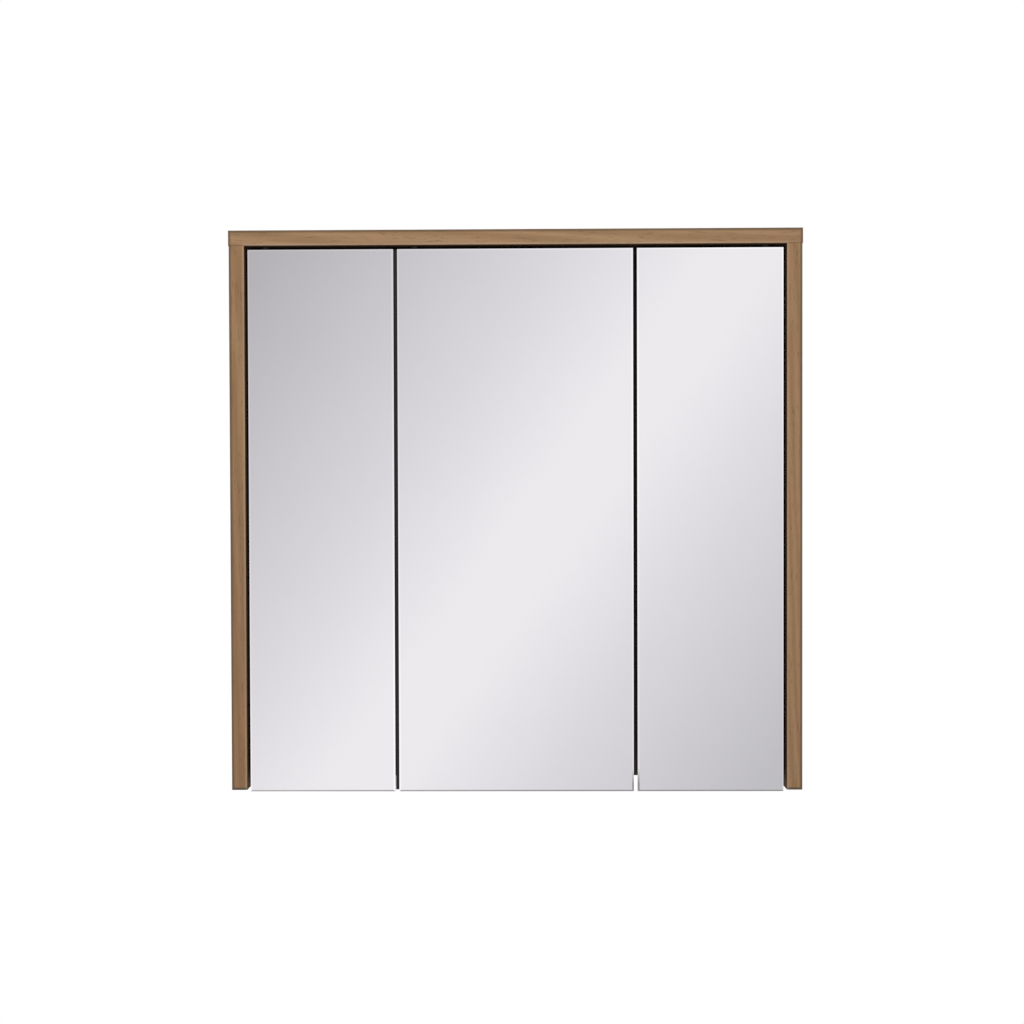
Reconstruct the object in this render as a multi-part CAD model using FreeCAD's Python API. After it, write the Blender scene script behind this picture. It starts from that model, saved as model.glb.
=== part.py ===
import FreeCAD, Part
import math
import os

os.makedirs("parts", exist_ok=True)
Vector = FreeCAD.Vector

# All sizes are in millimetres. X runs to the right, Y towards the wall and Z up.
# The origin is the centre of the four wall screws, on the wall.

# Carcass of faced chipboard
cabinet_width = 600.0
cabinet_height = 587.0
cabinet_depth = 150.0
board = 16.0
edging = 1.0
edging_round = 0.6
top_overhang = 0.6
back_thickness = 3.0
back_setback = 17.0
groove_depth = 7.0
groove_play = 0.2
grip_height = 8.0

# Mirror doors
side_gap = 3.3
door_gap = 4.1
side_door_width = 152.7
door_recess = 1.0
door_drop = 2.0
mirror_thickness = 4.0
mirror_arris = 1.8
tape_thickness = 0.8
tape_height = 30.0
tape_margin = 15.0
tapes_per_door = 4
carrier_inset = 1.5
strip_play = 0.4
strip_hold = 10.0

# Pivots that the doors turn on
pivot_inset = 18.0
pivot_setback = 10.0
pin_radius = 2.5
pin_play = 0.05
pin_reach = 10.0
bush_radius = 4.0
bush_length = 12.0
bush_end_room = 0.5
flange_radius = 5.0
flange_thickness = 1.0
thrust_play = 0.1
plate_thickness = 2.8
nose_radius = 5.0
neck_hinge_side = 2.5
foot_hinge_side = 8.0
foot_free_side = 18.0
foot_depth = 20.0
foot_screw_pitch = 13.0
swing_clearance = 1.5
notch_play = 1.5

# Magnetic catches
catch_width = 12.0
catch_depth = 28.0
catch_height = 40.0
catch_play = 0.2
magnet_width = 6.0
magnet_depth = 4.0
magnet_height = 30.0
catch_screw_pitch = 20.0
strike_thickness = 1.5
strike_width = 10.0
strike_height = 34.0

# Screws of the plates and catches
head_radius = 3.4
head_height = 1.8
shank_radius = 1.75
screw_grip = 7.0
slot_width = 0.8
slot_depth = 0.9

# Glass shelves on pins
shelves_per_bay = 2
glass_thickness = 5.0
glass_arris = 0.5
shelf_setback = 12.0
shelf_back_gap = 3.0
shelf_side_play = 1.0
shelf_pin_radius = 2.5
shelf_pin_depth = 7.0
rest_radius = 4.0
rest_reach = 8.0
rest_drop = 2.5
shelf_pin_margin = 18.0
spare_holes = 2
spare_hole_pitch = 25.0

# Cam fittings and dowels that join the boards
cam_radius = 7.5
cam_depth = 12.5
cam_distance = 34.0
cam_bolt_radius = 3.0
cam_bolt_bite = 2.0
cam_bolt_depth = 10.0
cam_front_margin = 40.0
cam_back_margin = 20.0
cam_cross_span = 9.0
cam_cross_width = 1.8
cam_cross_depth = 2.5
dowel_radius = 4.0
dowel_half = 12.0

# Hangers and wall plates
mount_drop = 60.0
hanger_inset = 23.4
wall_screw_pitch = 32.0
wall_screw_radius = 3.0
wall_plate_width = 36.0
wall_plate_thickness = 2.5
wall_plate_margin = 10.0
lip_gap = 4.5
lip_height = 6.0
hook_thickness = 4.0
hook_height = 8.0
hook_play = 0.5
hook_tip_lift = 1.5
hook_length = 60.0
hanger_depth = 52.0
hanger_height = 38.0
hanger_top_gap = 2.0
hanger_overlap = 16.0
hook_hole_play = 3.0
adjuster_radius = 3.5
adjuster_length = 22.0
adjuster_pitch = 20.0
adjuster_lift = 10.0
adjuster_stand = 0.5

# Planes that the pieces share
top_end_x = cabinet_width / 2
half_width = top_end_x - top_overhang
inner_x = half_width - board
front_y = -cabinet_depth
mirror_y = front_y + door_recess
tape_y = mirror_y + mirror_thickness
carrier_y = tape_y + tape_thickness
door_back_y = carrier_y + board
pivot_y = mirror_y + pivot_setback
back_y = -back_setback - back_thickness
top_z = mount_drop
top_inner_z = top_z - board
bottom_z = top_z - cabinet_height
floor_under_z = bottom_z + grip_height
floor_z = floor_under_z + board
door_end_gap = plate_thickness + flange_thickness + thrust_play
mirror_top_z = top_inner_z - door_end_gap
mirror_bottom_z = bottom_z - door_drop
carrier_bottom_z = mirror_bottom_z + carrier_inset
notch_z = floor_under_z + flange_thickness + thrust_play
centre_door_width = 2 * (inner_x - side_gap - side_door_width - door_gap)
partition_x = (centre_door_width + door_gap) / 2
catch_z = (floor_z + top_inner_z) / 2

# Fixed boards start behind the circle that the corners of an opening door run on
mirror_corner = math.hypot(pivot_inset, pivot_setback)
carrier_corner = math.hypot(pivot_inset - carrier_inset, door_back_y - pivot_y)
strip_corner = math.hypot(pivot_inset + door_gap - strip_play, pivot_y - tape_y)
inner_front_y = pivot_y + max(mirror_corner, carrier_corner, strip_corner) + swing_clearance

shelf_front_y = inner_front_y + shelf_setback
shelf_rear_y = back_y - shelf_back_gap
cam_rows = [inner_front_y + cam_front_margin, back_y - cam_back_margin]
dowel_y = sum(cam_rows) / len(cam_rows)
hook_x = inner_x - hanger_inset
web_top_z = wall_screw_pitch / 2 + wall_plate_margin
lip_top_z = web_top_z + lip_height
lip_back_y = -wall_plate_thickness - lip_gap
lip_front_y = lip_back_y - wall_plate_thickness

nodes = {}


def add(name, *shapes):
    nodes.setdefault(name, []).extend(shapes)


def block(x0, x1, y0, y1, z0, z1):
    corner = Vector(min(x0, x1), min(y0, y1), min(z0, z1))
    return Part.makeBox(abs(x1 - x0), abs(y1 - y0), abs(z1 - z0), corner)


def rod(radius, length, x, y, z, axis):
    return Part.makeCylinder(radius, length, Vector(x, y, z), Vector(*axis))


def joined(*shapes):
    return shapes[0].multiFuse(list(shapes[1:])).removeSplitter()


def drilled(shape, tools):
    return shape.cut(Part.makeCompound(tools))


def edges_at_y(shape, y):
    return [e for e in shape.Edges if all(abs(v.Y - y) < 1e-6 for v in e.Vertexes)]


def rounded_front(shape, y):
    return shape.makeFillet(edging_round, edges_at_y(shape, y))


def slotted_screw(x, y, z, axis, length):
    """A pan-head screw whose head sits on the point given and whose shank runs along the axis."""
    along = Vector(*axis)
    start = Vector(x, y, z)
    top = start - along * head_height
    head = Part.makeCylinder(head_radius, head_height, top, along)
    slot_size = [2 * head_radius if abs(a) < 0.5 else 2 * slot_depth for a in axis]
    thin = 1 if abs(axis[1]) < 0.5 else 0
    slot_size[thin] = slot_width
    slot_corner = top - Vector(*slot_size) * 0.5
    shank = Part.makeCylinder(shank_radius, length, start, along)
    return joined(head, shank).cut(Part.makeBox(*slot_size, slot_corner))


def shank_hole(x, y, z, axis, length):
    return Part.makeCylinder(shank_radius, length, Vector(x, y, z), Vector(*axis))


def cross_recess(x, y, z, axis, span, width, depth):
    """Crossed slots for a screwdriver in the face that holds the point given, square to the axis."""
    across = [i for i in range(3) if abs(axis[i]) < 0.5]
    slots = []
    for wide, thin in (across, across[::-1]):
        size = [2 * depth] * 3
        size[wide] = span
        size[thin] = width
        slots.append(Part.makeBox(*size, Vector(x, y, z) - Vector(*size) * 0.5))
    return joined(*slots)


# Doors: hinge edge, direction from it to the free edge, and width
doors = {
    "left": (-inner_x + side_gap, 1, side_door_width),
    "centre": (-centre_door_width / 2, 1, centre_door_width),
    "right": (inner_x - side_gap, -1, side_door_width),
}

# Side face of a partition that carries the catch of each door
catch_faces = {
    "left": -partition_x - board / 2,
    "centre": partition_x - board / 2,
    "right": partition_x + board / 2,
}

top_holes = []
side_holes = []
floor_holes = []
partition_holes = []


def make_pivot(door, end, hinge_x, way):
    """Plate with its pin and screws at one end of a door."""
    axis_x = hinge_x + way * pivot_inset
    board_z = top_inner_z if end == "top" else floor_under_z
    low_z = board_z - plate_thickness
    pin_z = low_z - thrust_play - pin_reach if end == "top" else low_z
    pin_length = plate_thickness + thrust_play + pin_reach
    nose = rod(nose_radius, plate_thickness, axis_x, pivot_y, low_z, (0, 0, 1))
    neck_x = [axis_x - way * neck_hinge_side, axis_x + way * nose_radius]
    neck = block(*neck_x, pivot_y, inner_front_y, low_z, board_z)
    foot_x = [axis_x - way * foot_hinge_side, axis_x + way * foot_free_side]
    foot = block(*foot_x, inner_front_y, inner_front_y + foot_depth, low_z, board_z)
    pin = rod(pin_radius, pin_length, axis_x, pivot_y, pin_z, (0, 0, 1))
    screw_y = inner_front_y + foot_depth / 2
    screw_length = plate_thickness + screw_grip
    holes = []
    for side in (-1, 1):
        screw_x = sum(foot_x) / len(foot_x) + side * foot_screw_pitch / 2
        place = (screw_x, screw_y, low_z, (0, 0, 1), screw_length)
        add("hardware_screws", slotted_screw(*place))
        holes.append(shank_hole(*place))
    add(f"{door}_door_{end}_pivot", drilled(joined(nose, neck, foot), [pin] + holes))
    add("pivot_pins", pin)
    (top_holes if end == "top" else floor_holes).extend(holes)


def make_bush(axis_x, end):
    """Flanged bush that turns on a pin, and the hole it is pressed into."""
    up = -1 if end == "top" else 1
    end_z = mirror_top_z if end == "top" else notch_z
    body = rod(bush_radius, bush_length, axis_x, pivot_y, end_z, (0, 0, up))
    flange = rod(flange_radius, flange_thickness, axis_x, pivot_y, end_z, (0, 0, -up))
    bore_start = end_z - up * flange_thickness
    bore_length = flange_thickness + bush_length
    bore = rod(pin_radius + pin_play, bore_length, axis_x, pivot_y, bore_start, (0, 0, up))
    hole = rod(bush_radius, bush_length + bush_end_room, axis_x, pivot_y, end_z, (0, 0, up))
    return joined(body, flange).cut(bore), hole


def make_door(door, hinge_x, way, width):
    free_x = hinge_x + way * width
    pane = block(hinge_x, free_x, mirror_y, tape_y, mirror_bottom_z, mirror_top_z)
    add(f"{door}_mirror", pane.makeChamfer(mirror_arris, edges_at_y(pane, mirror_y)))

    near_x = hinge_x + way * carrier_inset
    far_x = free_x - way * carrier_inset
    core_x = [near_x + way * edging, far_x - way * edging]
    core_z = [carrier_bottom_z + edging, mirror_top_z - edging]
    core = block(*core_x, carrier_y, door_back_y, *core_z)
    strips = [
        block(near_x, core_x[0], carrier_y, door_back_y, carrier_bottom_z, mirror_top_z),
        block(core_x[1], far_x, carrier_y, door_back_y, carrier_bottom_z, mirror_top_z),
        block(*core_x, carrier_y, door_back_y, carrier_bottom_z, core_z[0]),
        block(*core_x, carrier_y, door_back_y, core_z[1], mirror_top_z),
    ]
    axis_x = hinge_x + way * pivot_inset
    bushes = [make_bush(axis_x, end) for end in ("top", "bottom")]
    notch_x = axis_x + way * (nose_radius + notch_play)
    notch = block(near_x, notch_x, carrier_y, door_back_y, carrier_bottom_z, notch_z)
    cuts = [notch] + [hole for _, hole in bushes]

    strike_x = catch_faces[door] - way * catch_width / 2
    strike_low = catch_z - strike_height / 2
    strike_back_y = door_back_y + strike_thickness
    strike_side = [strike_x - strike_width / 2, strike_x + strike_width / 2]
    strike = block(*strike_side, door_back_y, strike_back_y, strike_low, strike_low + strike_height)

    tape_pitch = (mirror_top_z - carrier_bottom_z - tape_height - 2 * tape_margin) / (tapes_per_door - 1)
    for i in range(tapes_per_door):
        low = carrier_bottom_z + tape_margin + i * tape_pitch
        tape_x = [near_x + way * tape_margin, far_x - way * tape_margin]
        add(f"{door}_mirror_tapes", block(*tape_x, tape_y, carrier_y, low, low + tape_height))
    add(f"{door}_door_board", drilled(core, cuts))
    add(f"{door}_door_edging", *[drilled(strip, cuts) for strip in strips])
    add(f"{door}_door_bushes", *[bush for bush, _ in bushes])
    add(f"{door}_door_strike", strike)


def make_catch(door, way):
    face_x = catch_faces[door]
    free_x = face_x - way * catch_width
    start_y = door_back_y + strike_thickness + catch_play
    low_z = catch_z - catch_height / 2
    body = block(face_x, free_x, start_y, start_y + catch_depth, low_z, low_z + catch_height)
    middle_x = (face_x + free_x) / 2
    magnet_low = catch_z - magnet_height / 2
    magnet_x = [middle_x - magnet_width / 2, middle_x + magnet_width / 2]
    magnet = block(*magnet_x, start_y, start_y + magnet_depth, magnet_low, magnet_low + magnet_height)
    screw_y = (max(inner_front_y, start_y) + start_y + catch_depth) / 2
    holes = []
    for side in (-1, 1):
        screw_z = catch_z + side * catch_screw_pitch / 2
        place = (free_x, screw_y, screw_z, (way, 0, 0), catch_width + screw_grip)
        add("hardware_screws", slotted_screw(*place))
        holes.append(shank_hole(*place))
    add(f"{door}_door_catch", drilled(body, [magnet] + holes))
    add("catch_magnets", magnet)
    partition_holes.extend(holes)


for door, (hinge_x, way, width) in doors.items():
    make_door(door, hinge_x, way, width)
    make_catch(door, way)
    for end in ("top", "bottom"):
        make_pivot(door, end, hinge_x, way)

# Strip behind the hinge edge of the centre mirror, which closes the gap to the left door
strip_hinge_x = doors["centre"][0]
strip_x = [strip_hinge_x - door_gap + strip_play, strip_hinge_x + strip_hold]
add("centre_door_gap_strip", block(*strip_x, tape_y, carrier_y, carrier_bottom_z, mirror_top_z))

# Glass shelves, evenly spaced in each compartment
clear_height = top_inner_z - floor_z - shelves_per_bay * glass_thickness
bay_height = clear_height / (shelves_per_bay + 1)
compartments = {
    "left": (-inner_x, -partition_x - board / 2),
    "centre": (-partition_x + board / 2, partition_x - board / 2),
    "right": (partition_x + board / 2, inner_x),
}
shelf_names = ["lower", "upper"]


def make_shelf_pin(face_x, inward, y, under_z):
    """Pin let into a board face, with a rest whose flat top carries the glass."""
    axis_z = under_z - rest_drop
    stem = rod(shelf_pin_radius, shelf_pin_depth, face_x, y, axis_z, (-inward, 0, 0))
    rest = rod(rest_radius, rest_reach, face_x, y, axis_z, (inward, 0, 0))
    above = block(face_x, face_x + inward * rest_reach, y - rest_radius, y + rest_radius,
                  under_z, under_z + rest_radius)
    add("shelf_pins", joined(stem, rest.cut(above)))
    holes = side_holes if abs(abs(face_x) - inner_x) < edging else partition_holes
    for step in range(-spare_holes, spare_holes + 1):
        hole_z = axis_z + step * spare_hole_pitch
        holes.append(rod(shelf_pin_radius, shelf_pin_depth, face_x, y, hole_z, (-inward, 0, 0)))


for bay, (x0, x1) in compartments.items():
    for i in range(shelves_per_bay):
        under_z = floor_z + (i + 1) * bay_height + i * glass_thickness
        shelf_x = [x0 + shelf_side_play, x1 - shelf_side_play]
        pane = block(*shelf_x, shelf_front_y, shelf_rear_y, under_z, under_z + glass_thickness)
        add(f"{bay}_{shelf_names[i]}_shelf", pane.makeChamfer(glass_arris, edges_at_y(pane, shelf_front_y)))
        for y in (shelf_front_y + shelf_pin_margin, shelf_rear_y - shelf_pin_margin):
            make_shelf_pin(x0, 1, y, under_z)
            make_shelf_pin(x1, -1, y, under_z)

# Cam fittings and dowels between the boards
for side in (-1, 1):
    face_x = side * inner_x
    middle_x = side * (inner_x + board / 2)
    middle_z = floor_under_z + board / 2
    cam_cross = (cam_cross_span, cam_cross_width, cam_cross_depth)
    for y in cam_rows:
        cam_place = (face_x, y, top_inner_z - cam_distance, (side, 0, 0))
        cam = rod(cam_radius, cam_depth, *cam_place)
        bolt_reach = cam_distance - cam_radius + cam_bolt_bite
        bolt_length = bolt_reach + cam_bolt_depth
        bolt = rod(cam_bolt_radius, bolt_length, middle_x, y, top_inner_z - bolt_reach, (0, 0, 1))
        add("cam_discs", drilled(cam, [bolt, cross_recess(*cam_place, *cam_cross)]))
        add("cam_bolts", bolt)
        side_holes.extend([cam, bolt])
        top_holes.append(bolt)
        cam_place = (face_x - side * cam_distance, y, floor_under_z, (0, 0, 1))
        cam = rod(cam_radius, cam_depth, *cam_place)
        bolt = rod(cam_bolt_radius, bolt_length, face_x - side * bolt_reach, y, middle_z, (side, 0, 0))
        add("cam_discs", drilled(cam, [bolt, cross_recess(*cam_place, *cam_cross)]))
        add("cam_bolts", bolt)
        floor_holes.extend([cam, bolt])
        side_holes.append(bolt)
    dowel = rod(dowel_radius, 2 * dowel_half, middle_x, dowel_y, top_inner_z - dowel_half, (0, 0, 1))
    add("wood_dowels", dowel)
    side_holes.append(dowel)
    top_holes.append(dowel)
    dowel = rod(dowel_radius, 2 * dowel_half, face_x - side * dowel_half, dowel_y, middle_z, (side, 0, 0))
    add("wood_dowels", dowel)
    side_holes.append(dowel)
    floor_holes.append(dowel)
    for y in cam_rows:
        for joint_z, holes in ((top_inner_z, top_holes), (floor_z, floor_holes)):
            dowel = rod(dowel_radius, 2 * dowel_half, side * partition_x, y, joint_z - dowel_half, (0, 0, 1))
            add("wood_dowels", dowel)
            partition_holes.append(dowel)
            holes.append(dowel)

# Back panel in grooves, with a hole for each hanger hook
hook_low_z = lip_top_z
hook_top_z = lip_top_z + hook_height
panel_x = inner_x + groove_depth
panel_z = [floor_z - groove_depth, top_inner_z + groove_depth]
back_panel = block(-panel_x, panel_x, back_y, -back_setback, *panel_z)
groove = block(-panel_x - groove_play, panel_x + groove_play, back_y - groove_play,
               -back_setback + groove_play, panel_z[0] - groove_play, panel_z[1] + groove_play)
hook_holes = []
for side in (-1, 1):
    half_hole = hook_thickness / 2 + hook_hole_play
    hook_holes.append(block(side * hook_x - half_hole, side * hook_x + half_hole, back_y, -back_setback,
                            hook_low_z - hook_hole_play, hook_top_z + hook_play))
add("back_panel", drilled(back_panel, hook_holes))

# Hangers in the upper rear corners, hooked over wall plates
for side, name in ((-1, "left"), (1, "right")):
    plate_x = [side * hook_x - wall_plate_width / 2, side * hook_x + wall_plate_width / 2]
    flange_low_z = -wall_screw_pitch / 2 - wall_plate_margin
    flange = block(*plate_x, -wall_plate_thickness, 0, flange_low_z, web_top_z)
    web = block(*plate_x, lip_front_y, 0, web_top_z - wall_plate_thickness, web_top_z)
    lip = block(*plate_x, lip_front_y, lip_back_y, web_top_z - wall_plate_thickness, lip_top_z)
    wall_holes = []
    for row in (-1, 1):
        hole_z = row * wall_screw_pitch / 2
        wall_holes.append(rod(wall_screw_radius, wall_plate_thickness, side * hook_x, 0, hole_z, (0, -1, 0)))
    add(f"{name}_wall_plate", drilled(joined(flange, web, lip), wall_holes))

    hook_x0 = side * hook_x - hook_thickness / 2
    hook_x1 = side * hook_x + hook_thickness / 2
    tip_y = [lip_back_y + hook_play, -wall_plate_thickness + hook_play]
    bar = block(hook_x0, hook_x1, tip_y[1] - hook_length, tip_y[1], hook_low_z, hook_top_z)
    tip = block(hook_x0, hook_x1, *tip_y, web_top_z + hook_tip_lift, hook_top_z)
    add(f"{name}_hanger_hook", joined(bar, tip))

    housing_x = [side * (hook_x - hanger_overlap), side * inner_x]
    housing_top_z = top_inner_z - hanger_top_gap
    housing_front_y = back_y - hanger_depth
    housing = block(*housing_x, housing_front_y, back_y, housing_top_z - hanger_height, housing_top_z)
    hook_slot = block(hook_x0 - hook_play, hook_x1 + hook_play, tip_y[1] - hook_length - hook_play, back_y,
                      hook_low_z - hook_play, hook_top_z + hook_play)
    adjuster_z = housing_top_z - hanger_height + adjuster_lift
    adjuster_holes = []
    for across in (-1, 1):
        adjuster_x = sum(housing_x) / len(housing_x) + across * adjuster_pitch / 2
        adjuster_y = housing_front_y - adjuster_stand
        screw_place = (adjuster_x, adjuster_y, adjuster_z, (0, 1, 0))
        screw = rod(adjuster_radius, adjuster_length, *screw_place)
        adjuster_holes.append(screw)
        add("hanger_screws", screw.cut(cross_recess(*screw_place, adjuster_radius, slot_width, slot_depth)))
    add(f"{name}_hanger_housing", drilled(housing, [hook_slot] + adjuster_holes))

# Boards and their edge bands
core_front_y = front_y + edging
inner_core_y = inner_front_y + edging
top_core = block(-top_end_x + edging, top_end_x - edging, core_front_y, 0, top_inner_z, top_z)
add("top_panel", drilled(top_core, [groove] + top_holes))
top_front = block(-top_end_x, top_end_x, front_y, core_front_y, top_inner_z, top_z)
add("top_edging", rounded_front(top_front, front_y))
for side, name in ((-1, "left"), (1, "right")):
    outer_x = side * half_width
    end_x = side * top_end_x
    add("top_edging", block(end_x - side * edging, end_x, core_front_y, 0, top_inner_z, top_z))
    side_core = block(side * inner_x, outer_x, core_front_y, 0, bottom_z + edging, top_inner_z)
    add(f"{name}_side_panel", drilled(side_core, [groove] + side_holes))
    side_front = block(side * inner_x, outer_x, front_y, core_front_y, bottom_z, top_inner_z)
    side_foot = block(side * inner_x, outer_x, core_front_y, 0, bottom_z, bottom_z + edging)
    add(f"{name}_side_edging", rounded_front(side_front, front_y), side_foot)
    near_x = side * partition_x - board / 2
    far_x = side * partition_x + board / 2
    wall = block(near_x, far_x, inner_core_y, back_y, floor_z, top_inner_z)
    add(f"{name}_partition", drilled(wall, partition_holes))
    add("partition_edging", block(near_x, far_x, inner_front_y, inner_core_y, floor_z, top_inner_z))
floor_core = block(-inner_x, inner_x, inner_core_y, 0, floor_under_z, floor_z)
add("bottom_panel", drilled(floor_core, [groove] + floor_holes))
add("bottom_edging", block(-inner_x, inner_x, inner_front_y, inner_core_y, floor_under_z, floor_z))

for name, shapes in nodes.items():
    shape = shapes[0] if len(shapes) == 1 else Part.makeCompound(shapes)
    shape.exportStep(f"parts/{name}.step")
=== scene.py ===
import bpy
import math
from mathutils import Matrix, Vector


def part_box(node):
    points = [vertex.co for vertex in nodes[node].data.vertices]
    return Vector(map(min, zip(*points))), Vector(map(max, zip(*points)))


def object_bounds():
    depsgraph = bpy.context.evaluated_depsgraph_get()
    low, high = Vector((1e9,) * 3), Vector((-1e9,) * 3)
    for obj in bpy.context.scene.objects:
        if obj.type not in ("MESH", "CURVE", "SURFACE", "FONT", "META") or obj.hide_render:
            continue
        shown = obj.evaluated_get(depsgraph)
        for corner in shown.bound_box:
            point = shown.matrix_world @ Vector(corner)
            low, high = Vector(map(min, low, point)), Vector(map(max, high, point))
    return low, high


# Bathroom mirror cabinet: the finish of every piece, a plain studio and the camera
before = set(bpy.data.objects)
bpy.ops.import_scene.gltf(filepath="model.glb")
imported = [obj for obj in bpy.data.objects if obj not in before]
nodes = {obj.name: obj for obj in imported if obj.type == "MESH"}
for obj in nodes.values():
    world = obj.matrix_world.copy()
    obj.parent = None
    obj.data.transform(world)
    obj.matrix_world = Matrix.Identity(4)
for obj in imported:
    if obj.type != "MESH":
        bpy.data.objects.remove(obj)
cad_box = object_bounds()
doors = ("left", "centre", "right")
sides = ("left", "right")

# Where finishes begin and end, in metres
side_low, side_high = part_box("right_side_edging")
top_low, top_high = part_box("top_edging")
recess_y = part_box("partition_edging")[0][1]
band_back_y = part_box("top_panel")[0][1]
right_gap_x = (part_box("centre_mirror")[1][0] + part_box("right_mirror")[0][0]) / 2
panel_under_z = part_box("bottom_panel")[0][2]

# Limits on a normal's share along an axis: square on to it, and slanting towards it
square_on = 0.9
slanting = 0.5

# A noise texture's values lie mostly between these two
noise_low = 0.3
noise_high = 0.7

# Waves at scale 1 repeat every 0.628 m along an axis as diagonal bands, and every 0.314 m as rings
diagonal_wave = 0.628
ring_wave = 0.314


def linear(hex_colour):
    """Turns an sRGB hex colour into the linear colour that a socket takes."""
    shares = [int(hex_colour[i:i + 2], 16) / 255 for i in (1, 3, 5)]
    return tuple(c / 12.92 if c <= 0.04045 else ((c + 0.055) / 1.055) ** 2.4 for c in shares) + (1.0,)


def per_metre(size_mm):
    """Texture scale at which one feature of a pattern is this many millimetres wide."""
    return 1000.0 / size_mm


def add_node(tree, kind, inputs=None, ramp=None, **settings):
    """Adds a node with its settings, values and links. Sockets whose names repeat go by number: on a Mix node
    0 is the share, 2 and 3 take numbers, 4 and 5 vectors, 6 and 7 colours, and the outputs are 0, 1 and 2."""
    node = tree.nodes.new(kind)
    for name, value in settings.items():
        setattr(node, name, value)
    for key, value in (inputs or {}).items():
        if isinstance(value, bpy.types.NodeSocket):
            tree.links.new(value, node.inputs[key])
        else:
            node.inputs[key].default_value = value
    if ramp:
        stops = node.color_ramp.elements
        stops.remove(stops[1])
        stops[0].position, stops[0].color = ramp[0]
        for position, colour in ramp[1:]:
            stops.new(position).color = colour
    return node


def start_material(name):
    """A new node material, with its shader and the coordinates of the piece."""
    material = bpy.data.materials.new(name)
    material.use_nodes = True
    tree = material.node_tree
    shader = tree.nodes["Principled BSDF"]
    place = add_node(tree, "ShaderNodeTexCoord")
    return material, tree, shader, place


def link_surface(tree, shader, colour, rough, relief=None):
    """Gives a shader the colour, roughness and relief that were made for it."""
    tree.links.new(colour, shader.inputs["Base Color"])
    tree.links.new(rough, shader.inputs["Roughness"])
    if relief:
        tree.links.new(relief, shader.inputs["Normal"])


def dress(material, *names):
    """Puts a material on CAD nodes."""
    for name in names:
        nodes[name].material_slots[0].material = material


# Brown oak print: dark, middle and light tone on the side bands, the broad faces and the top band. The faces
# are a little warmer than the sides, as they came from other rolls. The top band is a little paler than the
# sides, which is painted light from above.
side_tones = ("#886747", "#947150", "#9F7C5A")
board_tones = ("#916D48", "#9D7851", "#A9845D")
top_lit_tones = ("#906F50", "#9B7959", "#A68464")
print_ior = 1.48

# Its features across the grain, in millimetres. Real pores are about a third as wide, too fine to show.
patch_mm = 26
band_mm = 24
streak_mm = 3.2
stripe_mm = 11
pore_mm = 1.1
growth_ring_mm = 9

# Scale of the features along the grain, against 1 across it, and a shift in metres that puts the patches out
# of step with the bands
patch_draw = 0.35
grain_draw = 0.05
pore_draw = 0.09
patch_shift = (0.31, 0.0, 0.17)

# Shares of the bands, streaks and stripes in the tone
band_share = 0.5
streak_share = 0.32
stripe_share = 0.18


def drawn_out(grain, scale):
    """Mapping scale that lengthens a pattern along its grain."""
    return {"X": (scale, 1.0, 1.0), "Z": (1.0, 1.0, scale)}[grain]


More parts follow.
